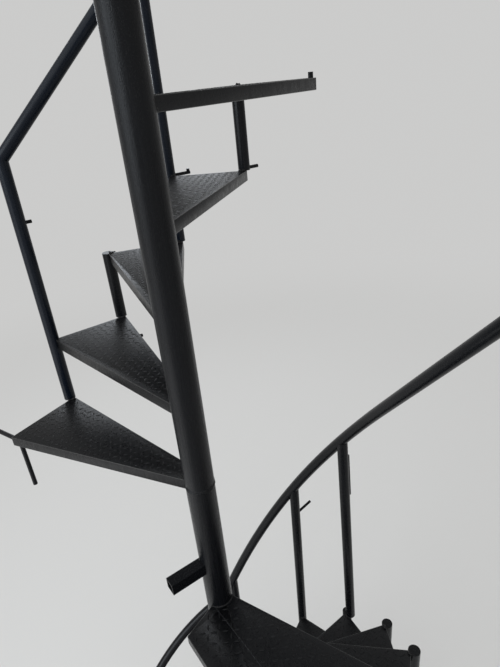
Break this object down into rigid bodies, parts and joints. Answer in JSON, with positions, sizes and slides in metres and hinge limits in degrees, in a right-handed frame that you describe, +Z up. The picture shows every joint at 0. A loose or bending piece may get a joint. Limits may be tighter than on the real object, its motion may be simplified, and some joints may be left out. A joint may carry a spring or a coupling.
{
  "type": "spiral staircase",
  "caption": "Steel spiral staircase on one centre pole, two flights of wedge treads meeting at a terrace, with tube handrails.",
  "frame": {"origin": "centre of the base plate's underside, on the ground floor", "axes": "+Z up the centre pole; the pole's tie to the terrace edge points to -X, and the terrace newel stands towards +X and -Y"},
  "size_m": [1.3509, 1.6216, 6.248],
  "materials": {
    "pole": "black gloss enamel over steel pipe",
    "treads": "black enamel over steel checker plate",
    "rails": "black gloss enamel over steel tube"
  },
  "bodies": {
    "root": {"base_plate": "pole", "lower_pole": "pole", "weld_collar": "pole", "upper_pole": "pole", "pole_cap": "pole", "terrace_tie": "rails", "lower_tread_1": "treads", "lower_tread_2": "treads", "lower_tread_3": "treads", "lower_tread_4": "treads", "lower_tread_5": "treads", "lower_tread_6": "treads", "lower_tread_7": "treads", "lower_tread_8": "treads", "lower_tread_9": "treads", "lower_tread_10": "treads", "upper_tread_1": "treads", "upper_tread_2": "treads", "upper_tread_3": "treads", "upper_tread_4": "treads", "upper_tread_5": "treads", "upper_tread_6": "treads", "upper_tread_7": "treads", "upper_tread_8": "treads", "upper_tread_9": "treads", "upper_tread_10": "treads", "lower_links": "rails", "upper_links": "rails", "lower_handrail": "rails", "foot_handrail": "rails", "terrace_newel": "rails", "newel_foot": "rails", "first_post": "rails", "second_post": "rails", "third_post": "rails", "bottom_post": "rails", "upper_handrail_1": "rails", "upper_handrail_2": "rails", "upper_handrail_3": "rails", "upper_handrail_4": "rails", "upper_post_1": "rails", "upper_post_2": "rails", "upper_post_3": "rails", "upper_post_4": "rails", "floor_leg": "rails", "wall_rods": "rails"}
  },
  "joints": []
}
